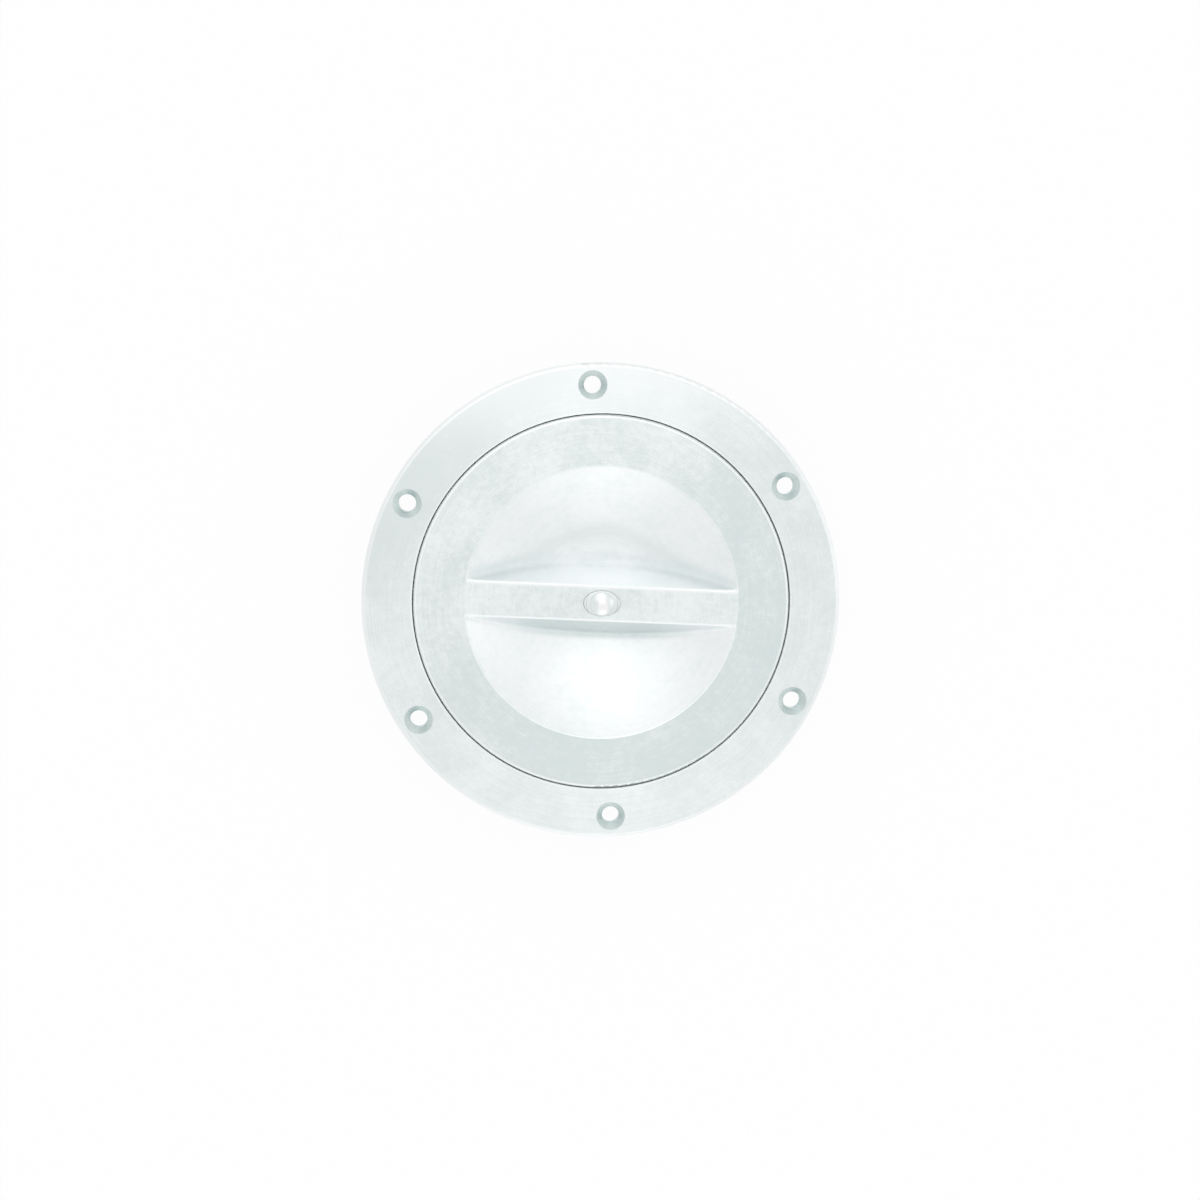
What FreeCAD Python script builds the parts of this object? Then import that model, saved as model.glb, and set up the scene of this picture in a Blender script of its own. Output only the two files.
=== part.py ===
import FreeCAD, Part
import math
import os
import Sketcher

# Round screw-in access hatch: a deck ring with a coarse internal thread, and a recessed lid that
# screws into it by the bar across its bowl. Millimetres. The origin is on the axis at the underside
# of the ring's flange, which lies on the deck, and +Z points up out of the deck.

SIZES = {
    "bore_radius": (62.8, "bore of the ring, at the root of its thread"),
    "collar_wall": (7.7, "wall of the collar that goes through the deck"),
    "flange_width": (14.5, "flange, outside the collar"),
    "flange_thick": (5.5, "deck ring, above the deck; the lid is flush with it"),
    "flange_round": (1.6, "deck ring, outer top edge"),
    "seat_width": (4.4, "floor of the recess that takes the lid's rim, round the bore"),
    "recess_bevel": (0.4, "top edge of the recess"),
    "seat_height": (0.5, "seat of the seal, above the deck"),
    "screw_inset": (7.8, "screw holes, in from the flange's edge"),
    "screw_count": (6, "screw holes"),
    "screw_radius": (3.1, "screw hole"),
    "sink_radius": (5.15, "countersink of a screw hole, at the top"),
    "collar_depth": (25.0, "collar, below the deck"),
    "collar_lead": (1.5, "bevel at the foot of the collar"),
    "bore_lead": (0.4, "bevel at the top of the bore"),
    "thread_pitch": (5.0, "rise of one turn, single start, right hand"),
    "thread_overlap": (1.0, "how deep the two threads hold each other"),
    "crest_play": (0.5, "radial play past each crest"),
    "flank_play": (0.25, "axial play at each flank"),
    "flank_slope": (15.0, "lean of each flank"),
    "foot_sunk": (0.45, "foot of each thread, sunk in its wall"),
    "thread_end": (2.5, "upper end of both threads, below the deck"),
    "ring_turns": (2.0, "turns of the ring's thread"),
    "turns_less": (0.5, "turns that the lid's thread has less than the ring's"),
    "lid_gap": (0.4, "gap round the lid"),
    "lid_round": (1.2, "outer top edge of the lid"),
    "rim_play": (0.2, "gap between the lid's lip and the seat"),
    "lip_wall": (0.95, "lip outside the seal"),
    "gland_depth": (2.1, "gland of the seal, from its roof to the seat"),
    "neck_play": (0.6, "gap between the lid's neck and the bore"),
    "neck_foot": (0.5, "foot of the neck, below the deck"),
    "skirt_wall": (4.3, "wall of the skirt, inside the lid's thread"),
    "skirt_tail": (0.6, "skirt, below its thread"),
    "skirt_lead": (0.4, "bevel at the foot of the skirt"),
    "band_thick": (3.5, "flat band round the bowl"),
    "band_bevel": (2.0, "corners under the band"),
    "band_width": (18.15, "from the lid's edge to the rim of the bowl"),
    "bowl_depth": (16.0, "bowl, below the band"),
    "bowl_wall": (3.0, "wall of the bowl and of the bar"),
    "bowl_round": (0.5, "curved edge of each finger pocket"),
    "bar_width": (12.7, "grip bar, at the top"),
    "bar_slope": (23.0, "lean of the bar's sides"),
    "bar_round": (0.8, "long edges of the bar"),
    "bar_root": (2.4, "corner between bar and bowl"),
    "bar_roof": (4.0, "top of the bar, above its hollow"),
    "bar_turn": (-5.1, "direction of the bar with the lid screwed home"),
    "hollow_end": (6.15, "end of the hollow under the bar, in from the rim of the bowl"),
    "hollow_round": (1.8, "edges of that hollow"),
    "boss_radius": (8.0, "boss for the stud, under the bowl"),
    "boss_proud": (0.5, "boss, below the bowl"),
    "head_length": (13.0, "oval head of the stud, along the bar"),
    "head_width": (9.0, "oval head of the stud, across the bar"),
    "head_seat": (0.8, "oval seat of the head, in the bar"),
    "head_gap": (0.12, "gap round the head"),
    "head_rim": (0.5, "oval rim of the head, above the bar"),
    "head_bevel": (0.3, "top edge of that rim"),
    "dome_inset": (0.15, "round dome of the head, in from that bevel"),
    "dome_height": (1.3, "dome, above the rim"),
    "shank_radius": (2.5, "shank of the stud"),
    "shank_play": (0.1, "radial play round the shank"),
    "shank_tail": (1.0, "shank, past the nut"),
    "washer_radius": (6.0, "washer, outside"),
    "washer_thick": (1.0, "washer"),
    "tab_width": (11.0, "lanyard tab"),
    "tab_reach": (16.0, "from the stud to the tab's eye"),
    "tab_thick": (2.0, "lanyard tab"),
    "tab_bevel": (0.4, "edges of the lanyard tab"),
    "tab_play": (0.1, "play above and below the tab"),
    "eye_radius": (2.5, "eye of the lanyard tab"),
    "nut_sides": (6, "sides of the lock nut"),
    "nut_hex": (3.4, "lock nut, height of its flats"),
    "nut_bevel": (30.0, "lean of the nut's turned-off corners"),
    "nut_collar": (1.6, "lock nut, height of the collar round its insert"),
    "nut_collar_wall": (0.45, "wall of that collar"),
    "nut_shoulder": (0.1, "flats of the nut, outside that collar"),
    "nut_lip": (0.3, "lip of that collar, turned in under the insert"),
    "nut_play": (0.05, "nut, clear of the shank"),
    "insert_wall": (0.9, "soft insert that grips the shank"),
    "insert_play": (0.02, "insert, clear of the nut"),
    "seal_room": (0.4, "room for the seal to spread, inside the lip"),
    "seal_bevel": (0.5, "long edges of the seal"),
    "seal_play": (0.05, "seal, clear of its neighbours"),
    "margin": (1.0, "how far a cutting shape runs past what it cuts"),
}

document = FreeCAD.newDocument("access_hatch")
sheet = document.addObject("Spreadsheet::Sheet", "sizes")
for row, (alias, (value, note)) in enumerate(SIZES.items(), start=1):
    sheet.set(f"A{row}", note)
    sheet.set(f"B{row}", str(value))
    sheet.setAlias(f"B{row}", alias)
document.recompute()


class Size:
    """A number from the sheet, together with the expression that gives it."""

    def __init__(self, value, text):
        self.value = value
        self.text = text

    def __add__(self, other):
        other = as_size(other)
        return Size(self.value + other.value, f"({self.text} + {other.text})")

    def __sub__(self, other):
        other = as_size(other)
        return Size(self.value - other.value, f"({self.text} - {other.text})")

    def __mul__(self, other):
        other = as_size(other)
        return Size(self.value * other.value, f"{self.text} * {other.text}")

    def __truediv__(self, other):
        other = as_size(other)
        return Size(self.value / other.value, f"{self.text} / ({other.text})")

    def __neg__(self):
        return Size(-self.value, f"(-1 * {self.text})")


def as_size(number):
    return number if isinstance(number, Size) else Size(float(number), str(float(number)))


def size(alias):
    return Size(float(sheet.get(alias)), f"sizes.{alias}")


def tangent(angle):
    return Size(math.tan(math.radians(angle.value)), f"tan({angle.text})")


def cosine(angle):
    return Size(math.cos(math.radians(angle.value)), f"cos({angle.text})")


def square_root(number):
    return Size(math.sqrt(number.value), f"sqrt({number.text})")


def bind(feature, **sizes):
    """Ties properties to the sheet; a double underscore stands for a dot in a property's path."""
    for path, value in sizes.items():
        feature.setExpression(path.replace("__", "."), as_size(value).text)


def new_body(name):
    return document.addObject("PartDesign::Body", name)


def new_sketch(body, name, plane, height=None):
    """A sketch on one of the body's own origin planes, or that far above it."""
    sketch = body.newObject("Sketcher::SketchObject", name)
    origin_plane = next(item for item in body.Origin.OriginFeatures if item.Role == plane)
    sketch.AttachmentSupport = (origin_plane, "")
    sketch.MapMode = "FlatFace"
    if height is not None:
        bind(sketch, AttachmentOffset__Base__z=height)
    return sketch


def pin_coordinate(sketch, kind, geometry, point, coordinate):
    """Sets the X or the Y distance of a point from the sketch's origin, or lays it on the axis."""
    axis = -2 if kind == "DistanceX" else -1
    if coordinate.value == 0:
        sketch.addConstraint(Sketcher.Constraint("PointOnObject", geometry, point, axis))
        return
    constraint = Sketcher.Constraint(kind, -1, 1, geometry, point, coordinate.value)
    index = sketch.addConstraint(constraint)
    sketch.setExpression(f"Constraints[{index}]", coordinate.text)


def pin_point(sketch, geometry, point, x, y):
    pin_coordinate(sketch, "DistanceX", geometry, point, as_size(x))
    pin_coordinate(sketch, "DistanceY", geometry, point, as_size(y))


def draw_outline(sketch, corners):
    """A closed outline. A corner is (x, y), or (x, y, centre) where an arc leaves it."""
    ends = []
    points = [FreeCAD.Vector(as_size(c[0]).value, as_size(c[1]).value, 0) for c in corners]
    for index, corner in enumerate(corners):
        start, end = points[index], points[(index + 1) % len(points)]
        if len(corner) == 2:
            edge = sketch.addGeometry(Part.LineSegment(start, end))
            ends.append((edge, 1, 2))
            continue
        centre = FreeCAD.Vector(as_size(corner[2][0]).value, as_size(corner[2][1]).value, 0)
        angles = [math.atan2(point.y - centre.y, point.x - centre.x) for point in (start, end)]
        forwards = (angles[1] - angles[0]) % (2 * math.pi) < math.pi + 1e-9
        first, last = angles if forwards else reversed(angles)
        circle = Part.Circle(centre, FreeCAD.Vector(0, 0, 1), (start - centre).Length)
        edge = sketch.addGeometry(Part.ArcOfCircle(circle, first, last))
        ends.append((edge, 1, 2) if forwards else (edge, 2, 1))
        pin_coordinate(sketch, "DistanceX", edge, 3, as_size(corner[2][0]))
    for index, corner in enumerate(corners):
        previous, current = ends[index - 1], ends[index]
        sketch.addConstraint(
            Sketcher.Constraint("Coincident", previous[0], previous[2], current[0], current[1]))
        pin_point(sketch, current[0], current[1], corner[0], corner[1])


def draw_circle(sketch, x, y, radius):
    centre = FreeCAD.Vector(as_size(x).value, as_size(y).value, 0)
    circle = sketch.addGeometry(Part.Circle(centre, FreeCAD.Vector(0, 0, 1), radius.value))
    pin_point(sketch, circle, 3, x, y)
    index = sketch.addConstraint(Sketcher.Constraint("Radius", circle, radius.value))
    sketch.setExpression(f"Constraints[{index}]", radius.text)


def draw_oval(sketch, length, width):
    """An ellipse about the origin, its long axis along X."""
    centre = FreeCAD.Vector(0, 0, 0)
    long_end = FreeCAD.Vector(length.value / 2, 0, 0)
    short_end = FreeCAD.Vector(0, width.value / 2, 0)
    oval = sketch.addGeometry(Part.Ellipse(long_end, short_end, centre))
    sketch.exposeInternalGeometry(oval)
    major, minor = oval + 1, oval + 2
    sketch.addConstraint(Sketcher.Constraint("Coincident", oval, 3, -1, 1))
    sketch.addConstraint(Sketcher.Constraint("Horizontal", major))
    for line, extent in ((major, length), (minor, width)):
        index = sketch.addConstraint(Sketcher.Constraint("Distance", line, extent.value))
        sketch.setExpression(f"Constraints[{index}]", extent.text)


def turn_outline(body, name, corners, kind="Revolution"):
    """Turns an outline of radii and heights right round the Z axis, as a Revolution or a Groove."""
    sketch = new_sketch(body, f"{name}_outline", "XZ_Plane")
    draw_outline(sketch, corners)
    turned = body.newObject(f"PartDesign::{kind}", name)
    turned.Profile = sketch
    turned.ReferenceAxis = (sketch, ["V_Axis"])
    turned.Angle = 360
    document.recompute()
    return turned


def pad(body, name, sketch, length, both_ways=False, downwards=False):
    feature = body.newObject("PartDesign::Pad", name)
    feature.Profile = sketch
    if both_ways:
        feature.SideType = "Symmetric"
    feature.Reversed = downwards
    bind(feature, Length=length)
    document.recompute()
    return feature


def pocket(body, name, sketch, length=None):
    """Cuts the sketch downwards, right through where no depth is given."""
    feature = body.newObject("PartDesign::Pocket", name)
    feature.Profile = sketch
    if length is None:
        feature.Type = "ThroughAll"
    else:
        bind(feature, Length=length)
    document.recompute()
    return feature


def circle_edges(shape, rings):
    """Names of the round edges about the Z axis with the given radii and heights."""
    names = []
    for radius, height in rings:
        for number, edge in enumerate(shape.Edges, start=1):
            if edge.Degenerated or edge.Curve.TypeId != "Part::GeomCircle":
                continue
            centre = edge.Curve.Center
            on_axis = math.hypot(centre.x, centre.y) < 1e-4
            same = (abs(edge.Curve.Radius - as_size(radius).value) < 1e-4
                    and abs(centre.z - as_size(height).value) < 1e-4)
            if on_axis and same:
                names.append(f"Edge{number}")
    return names


def soften(body, kind, name, rings, amount):
    """Fillet or Chamfer on round edges about the Z axis."""
    document.recompute()
    base = body.Tip
    feature = body.newObject(f"PartDesign::{kind}", name)
    feature.Base = (base, circle_edges(base.Shape, rings))
    bind(feature, **{"Radius" if kind == "Fillet" else "Size": amount})
    document.recompute()
    return feature


def thread_ridge(body, name, turns, start_height, foot_radius, root_radius, crest_radius):
    """A trapezoid ridge that climbs the wall by one pitch a turn. Its foot is sunk in the wall."""
    sketch = new_sketch(body, f"{name}_section", "XZ_Plane")
    draw_outline(sketch, [
        (foot_radius, start_height - root_width / 2),
        (root_radius, start_height - root_width / 2),
        (crest_radius, start_height - crest_width / 2),
        (crest_radius, start_height + crest_width / 2),
        (root_radius, start_height + root_width / 2),
        (foot_radius, start_height + root_width / 2),
    ])
    ridge = body.newObject("PartDesign::AdditiveHelix", name)
    ridge.Profile = sketch
    ridge.ReferenceAxis = (sketch, ["V_Axis"])
    ridge.Mode = "pitch-turns-angle"
    bind(ridge, Pitch=size("thread_pitch"), Turns=turns)
    document.recompute()
    return ridge


# Levels and radii that more than one piece uses.
deck_top = size("flange_thick")
seat = size("seat_height")
recess_radius = size("bore_radius") + size("seat_width")
lid_radius = recess_radius - size("lid_gap")
bowl_radius = lid_radius - size("band_width")
gland_roof = seat + size("gland_depth")
gland_wall = lid_radius - size("lip_wall")
neck_radius = size("bore_radius") - size("neck_play")

# The two threads share the pitch: each ridge fills half of it, less the play at its flanks.
# The middle of the overlap is the line on which both ridges have that width.
ridge_width = size("thread_pitch") / 2 - size("flank_play")
flank_run = tangent(size("flank_slope")) * 2
pitch_line = size("bore_radius") - size("crest_play") - size("thread_overlap") / 2
ring_crest = pitch_line - size("thread_overlap") / 2
lid_crest = pitch_line + size("thread_overlap") / 2
lid_core = ring_crest - size("crest_play")
root_width = ridge_width + flank_run * (size("bore_radius") - pitch_line)
crest_width = ridge_width - flank_run * (size("thread_overlap") / 2)
ring_thread_start = -size("thread_end") - size("thread_pitch") * size("ring_turns")


def make_deck_ring():
    """Cast and turned ring: flange with sunk screw holes, recess, seat, threaded collar."""
    body = new_body("deck_ring")
    bore, recess = size("bore_radius"), recess_radius
    collar = bore + size("collar_wall")
    flange = collar + size("flange_width")
    foot = -size("collar_depth")
    turn_outline(body, "ring_casting", [
        (bore, foot), (collar, foot), (collar, 0), (flange, 0),
        (flange, deck_top), (recess, deck_top), (recess, seat), (bore, seat),
    ])
    thread_ridge(body, "ring_thread", size("ring_turns"), ring_thread_start,
                 bore + size("foot_sunk"), bore, ring_crest)
    soften(body, "Fillet", "flange_edge", [(flange, deck_top)], size("flange_round"))
    soften(body, "Chamfer", "recess_edge", [(recess, deck_top)], size("recess_bevel"))
    soften(body, "Chamfer", "collar_foot", [(collar, foot)], size("collar_lead"))
    soften(body, "Chamfer", "bore_mouth", [(bore, seat), (bore, foot)], size("bore_lead"))

    spot = new_sketch(body, "screw_hole_spot", "XY_Plane", deck_top)
    draw_circle(spot, 0, flange - size("screw_inset"), size("screw_radius"))
    document.recompute()
    hole = body.newObject("PartDesign::Hole", "screw_hole")
    hole.Profile = spot
    hole.DepthType = "ThroughAll"
    hole.HoleCutType = "Countersink"
    hole.HoleCutCountersinkAngle = 90
    bind(hole, Diameter=size("screw_radius") * 2, HoleCutDiameter=size("sink_radius") * 2)
    document.recompute()
    holes = body.newObject("PartDesign::PolarPattern", "screw_holes")
    holes.Originals = [hole]
    holes.Axis = (spot, ["N_Axis"])
    holes.Angle = 360
    bind(holes, Occurrences=size("screw_count"))
    body.Tip = holes
    return body


# The bowl is part of a sphere through its rim and its deepest point.
sphere_radius = ((bowl_radius * bowl_radius + size("bowl_depth") * size("bowl_depth"))
                 / (size("bowl_depth") * 2))
sphere_height = deck_top - size("bowl_depth") + sphere_radius
shell_radius = sphere_radius + size("bowl_wall")
boss_face = deck_top - size("bowl_depth") - size("bowl_wall") - size("boss_proud")
shank_hole = size("shank_radius") + size("shank_play")


def make_lid_casting():
    """Lid before its finger pockets are sunk: rim, gland, threaded skirt, band, shell of the bowl."""
    body = new_body("lid_casting")
    lip = seat + size("rim_play")
    thread_start = ring_thread_start + size("thread_pitch") / 2
    neck_foot, skirt_foot = -size("neck_foot"), thread_start - root_width / 2 - size("skirt_tail")
    skirt_inside = lid_core - size("skirt_wall")
    band_under = deck_top - size("band_thick")
    rise = sphere_height - band_under
    shell_meets_band = square_root(shell_radius * shell_radius - rise * rise)
    boss = size("boss_radius")
    boss_meets_shell = sphere_height - square_root(shell_radius * shell_radius - boss * boss)
    centre = (0, sphere_height)
    turn_outline(body, "lid_blank", [
        (0, boss_face), (0, deck_top), (lid_radius, deck_top), (lid_radius, lip),
        (gland_wall, lip), (gland_wall, gland_roof), (neck_radius, gland_roof),
        (neck_radius, neck_foot), (lid_core, neck_foot), (lid_core, skirt_foot),
        (skirt_inside, skirt_foot), (skirt_inside, band_under),
        (shell_meets_band, band_under, centre),
        (boss, boss_meets_shell), (boss, boss_face),
    ])
    # The ridge starts beside the bar's end, so turning the bar shifts where it stands at rest.
    thread_ridge(body, "lid_thread", size("ring_turns") - size("turns_less"),
                 thread_start + size("thread_pitch") * size("bar_turn") / 360,
                 lid_core - size("foot_sunk"), lid_core, lid_crest)
    soften(body, "Fillet", "rim_edge", [(lid_radius, deck_top)], size("lid_round"))
    soften(body, "Chamfer", "skirt_foot", [(lid_core, skirt_foot), (skirt_inside, skirt_foot)],
           size("skirt_lead"))
    soften(body, "Chamfer", "band_corner",
           [(skirt_inside, band_under), (shell_meets_band, band_under)], size("band_bevel"))

    spot = new_sketch(body, "shank_spot", "XY_Plane", deck_top)
    draw_circle(spot, 0, 0, shank_hole)
    pocket(body, "shank_bore", spot)
    oval = new_sketch(body, "head_spot", "XY_Plane", deck_top)
    gap = size("head_gap") * 2
    draw_oval(oval, size("head_length") + gap, size("head_width") + gap)
    pocket(body, "head_seat", oval, size("head_seat"))
    return body


def make_pocket_tool():
    """One finger pocket, turned about the line through the bowl's centre that is square to the bar's side."""
    slope, root = size("bar_slope"), size("bar_root")
    side = (size("bar_width") / 2 - tangent(slope) * (sphere_height - deck_top)) * cosine(slope)
    inner = sphere_radius - root
    root_along = side + root
    root_out = square_root(inner * inner - root_along * root_along)
    body = new_body("pocket_tool")
    sketch = new_sketch(body, "pocket_outline", "YZ_Plane")
    sketch.AttachmentOffset = FreeCAD.Placement(FreeCAD.Vector(0, 0, 0),
                                                FreeCAD.Rotation(FreeCAD.Vector(0, 0, 1), 1))
    bind(sketch, AttachmentOffset__Base__y=sphere_height, AttachmentOffset__Rotation__Angle=slope)
    draw_outline(sketch, [
        (side, 0), (side, root_out, (root_along, root_out)),
        (root_along * sphere_radius / inner, root_out * sphere_radius / inner, (0, 0)),
        (sphere_radius, 0),
    ])
    turned = body.newObject("PartDesign::Revolution", "pocket_turned")
    turned.Profile = sketch
    turned.ReferenceAxis = (sketch, ["H_Axis"])
    turned.Angle = 360
    document.recompute()
    return body


def make_hollow_tool():
    """Hollow under the bar, which keeps the casting's wall even. The stud's boss stands in it."""
    half_bar = size("bar_width") / 2
    lean = tangent(size("bar_slope"))
    wall = size("bowl_wall") / cosine(size("bar_slope"))
    roof = deck_top - size("bar_roof")
    low = boss_face - size("bowl_wall")
    at_roof = half_bar + lean * (deck_top - roof) - wall
    at_low = half_bar + lean * (deck_top - low) - wall
    body = new_body("bar_hollow")
    section = new_sketch(body, "bar_hollow_section", "YZ_Plane")
    draw_outline(section, [(-at_low, low), (at_low, low), (at_roof, roof), (-at_roof, roof)])
    block = pad(body, "bar_hollow_block", section, (bowl_radius - size("hollow_end")) * 2, both_ways=True)
    rounded = body.newObject("PartDesign::Fillet", "bar_hollow_rounded")
    upper_edges = [f"Edge{number}" for number, edge in enumerate(block.Shape.Edges, start=1)
                   if edge.BoundBox.ZMax > low.value + 1e-3]
    rounded.Base = (block, upper_edges)
    bind(rounded, Radius=size("hollow_round"))
    document.recompute()
    spot = new_sketch(body, "boss_spot", "XY_Plane", roof)
    draw_circle(spot, 0, 0, size("boss_radius"))
    pocket(body, "boss_left_standing", spot)
    return body


def make_lid():
    """The lid as cast and turned in one piece, with its pockets sunk and their edges rounded."""
    casting, hollow, near = make_lid_casting(), make_hollow_tool(), make_pocket_tool()
    far = document.addObject("Part::Mirroring", "pocket_tool_far")
    far.Source = near
    far.Normal = (0, 1, 0)
    solid = casting
    for name, tool in (("lid_hollowed", hollow), ("lid_one_pocket", near), ("lid_sharp", far)):
        cut = document.addObject("Part::Cut", name)
        cut.Base, cut.Tool = solid, tool
        solid = cut
    document.recompute()

    # The edges of the pockets lie in the top plane, inside the bowl's rim and outside the stud.
    reach = bowl_radius.value + 1e-3
    clear = (size("head_length") / 2 + size("head_gap") + size("margin")).value
    bar_edge, rim_edge = size("bar_round").value, size("bowl_round").value
    edges = []
    for number, edge in enumerate(solid.Shape.Edges, start=1):
        box = edge.BoundBox
        flat = abs(box.ZMin - deck_top.value) < 1e-4 and abs(box.ZMax - deck_top.value) < 1e-4
        far_point = max(math.hypot(v.X, v.Y) for v in edge.Vertexes) if edge.Vertexes else 0
        if not flat or far_point > reach or far_point < clear:
            continue
        radius = bar_edge if edge.Curve.TypeId == "Part::GeomLine" else rim_edge
        edges.append((number, radius, radius))
    lid = document.addObject("Part::Fillet", "lid")
    lid.Base = solid
    lid.Edges = edges
    lid.Placement = FreeCAD.Placement(FreeCAD.Vector(0, 0, 0),
                                      FreeCAD.Rotation(FreeCAD.Vector(0, 0, 1), 1))
    bind(lid, Placement__Rotation__Angle=size("bar_turn"))
    return lid


def turn_with_bar(body):
    """Turns a piece of the lid to the bar's direction."""
    body.Placement = FreeCAD.Placement(FreeCAD.Vector(0, 0, 0),
                                       FreeCAD.Rotation(FreeCAD.Vector(0, 0, 1), 1))
    bind(body, Placement__Rotation__Angle=size("bar_turn"))


# What the stud holds under the boss, one below the other.
washer_low = boss_face - size("washer_thick")
tab_high = washer_low - size("tab_play")
tab_low = tab_high - size("tab_thick")
nut_high = tab_low - size("tab_play")
nut_low = nut_high - size("nut_hex") - size("nut_collar")


def make_centre_stud():
    """Polished stud: an oval head with a round dome, in its seat in the bar, and a shank to the nut."""
    body = new_body("centre_stud")
    head_low, rim_top = deck_top - size("head_seat"), deck_top + size("head_rim")
    oval = new_sketch(body, "head_outline", "XY_Plane", head_low)
    draw_oval(oval, size("head_length"), size("head_width"))
    rim = pad(body, "head_oval", oval, rim_top - head_low)
    bevelled = body.newObject("PartDesign::Chamfer", "head_bevelled")
    bevelled.Base = (rim, [f"Edge{number}" for number, edge in enumerate(rim.Shape.Edges, start=1)
                           if edge.BoundBox.ZMin > rim_top.value - 1e-3])
    bind(bevelled, Size=size("head_bevel"))
    document.recompute()
    edge = size("head_width") / 2 - size("head_bevel") - size("dome_inset")
    rise = size("dome_height")
    curve = (edge * edge + rise * rise) / (rise * 2)
    turn_outline(body, "head_dome", [
        (0, head_low), (edge, head_low), (edge, rim_top, (0, rim_top + rise - curve)),
        (0, rim_top + rise),
    ])
    shank = new_sketch(body, "shank_outline", "XY_Plane", head_low)
    draw_circle(shank, 0, 0, size("shank_radius"))
    pad(body, "shank", shank, head_low - nut_low + size("shank_tail"), downwards=True)
    turn_with_bar(body)
    return body


def make_stud_washer():
    body = new_body("stud_washer")
    sketch = new_sketch(body, "washer_outline", "XY_Plane", washer_low)
    draw_circle(sketch, 0, 0, size("washer_radius"))
    draw_circle(sketch, 0, 0, shank_hole)
    pad(body, "washer_disc", sketch, size("washer_thick"))
    return body


def make_lanyard_tab():
    """Plate that swivels on the stud. Its eye takes the lanyard that keeps the lid from loss."""
    body = new_body("lanyard_tab")
    half = size("tab_width") / 2
    sketch = new_sketch(body, "tab_outline", "XY_Plane", tab_low)
    draw_outline(sketch, [
        (0, -half), (size("tab_reach"), -half, (size("tab_reach"), 0)),
        (size("tab_reach"), half), (0, half, (0, 0)),
    ])
    plate = pad(body, "tab_plate", sketch, size("tab_thick"))
    softened = body.newObject("PartDesign::Chamfer", "tab_edges")
    softened.Base = (plate, [f"Edge{number}" for number, edge in enumerate(plate.Shape.Edges, start=1)
                             if edge.BoundBox.ZLength < 1e-3])
    bind(softened, Size=size("tab_bevel"))
    document.recompute()
    holes = new_sketch(body, "tab_holes", "XY_Plane", tab_high)
    draw_circle(holes, 0, 0, shank_hole)
    draw_circle(holes, size("tab_reach"), 0, size("eye_radius"))
    pocket(body, "tab_bores", holes)
    turn_with_bar(body)
    return body


# The nut's soft insert sits in a groove inside the collar, above the turned-in lip.
nut_bore = size("shank_radius") + size("nut_play")
collar_high = nut_low + size("nut_collar")
insert_radius = nut_bore + size("insert_wall")
insert_low = nut_low + size("nut_lip")
nut_collar_radius = insert_radius + size("nut_collar_wall")
flats_radius = nut_collar_radius + size("nut_shoulder")


def make_lock_nut():
    """Hexagon nut, its corners turned off, with a round collar that holds the soft insert."""
    turning = new_body("nut_turning")
    corner = flats_radius / cosine(as_size(180) / size("nut_sides"))
    bevel = (corner - flats_radius) * tangent(size("nut_bevel"))
    turn_outline(turning, "nut_section", [
        (nut_bore + size("insert_wall") / 2, nut_low), (nut_collar_radius, nut_low),
        (nut_collar_radius, collar_high), (flats_radius, collar_high),
        (corner, collar_high + bevel), (corner, nut_high - bevel),
        (flats_radius, nut_high), (nut_bore, nut_high), (nut_bore, collar_high),
        (insert_radius, collar_high), (insert_radius, insert_low),
        (nut_bore + size("insert_wall") / 2, insert_low),
    ])
    hexagon = document.addObject("Part::Prism", "nut_hexagon")
    bind(hexagon, Polygon=size("nut_sides"), Circumradius=corner, Height=nut_high - nut_low,
         Placement__Base__z=nut_low)
    nut = document.addObject("Part::Common", "lock_nut")
    nut.Base, nut.Tool = turning, hexagon
    return nut


def make_nut_insert():
    body = new_body("nut_insert")
    play = size("insert_play")
    outside, low, high = insert_radius - play, insert_low + play, collar_high - play
    turn_outline(body, "insert_section",
                 [(nut_bore, low), (outside, low), (outside, high), (nut_bore, high)])
    return body


def make_lid_seal():
    """Rubber ring round the lid's neck, squeezed between the gland's roof and the seat."""
    body = new_body("lid_seal")
    play = size("seal_play")
    inside = neck_radius + play * 2
    outside = gland_wall - size("seal_room")
    low, high = seat + play, gland_roof - play
    turn_outline(body, "seal_ring", [(inside, low), (outside, low), (outside, high), (inside, high)])
    soften(body, "Chamfer", "seal_edges",
           [(inside, low), (outside, low), (outside, high), (inside, high)], size("seal_bevel"))
    return body


pieces = {
    "deck_ring": make_deck_ring(),
    "lid": make_lid(),
    "lid_seal": make_lid_seal(),
    "centre_stud": make_centre_stud(),
    "stud_washer": make_stud_washer(),
    "lanyard_tab": make_lanyard_tab(),
    "lock_nut": make_lock_nut(),
    "nut_insert": make_nut_insert(),
}
document.recompute()

for item in document.Objects:
    if "Invalid" in item.State or "Error" in item.State:
        raise RuntimeError(f"{item.Label} could not be made: {item.State}")
os.makedirs("parts", exist_ok=True)
for name, piece in pieces.items():
    piece.Label = name
    if piece.Shape.isNull() or not piece.Shape.isValid() or len(piece.Shape.Solids) != 1:
        raise RuntimeError(f"{name} is not one valid solid")
for name, piece in pieces.items():
    piece.Shape.exportStep(f"parts/{name}.step")
    box = piece.Shape.optimalBoundingBox(False)
    print(f"{name}: {piece.Shape.Volume:.0f} mm3, z {box.ZMin:.2f} to {box.ZMax:.2f}, "
          f"x {box.XMin:.2f} to {box.XMax:.2f}, {len(piece.Shape.Faces)} faces")
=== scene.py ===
import math

import bmesh
import bpy
from mathutils import Matrix, Vector


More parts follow.
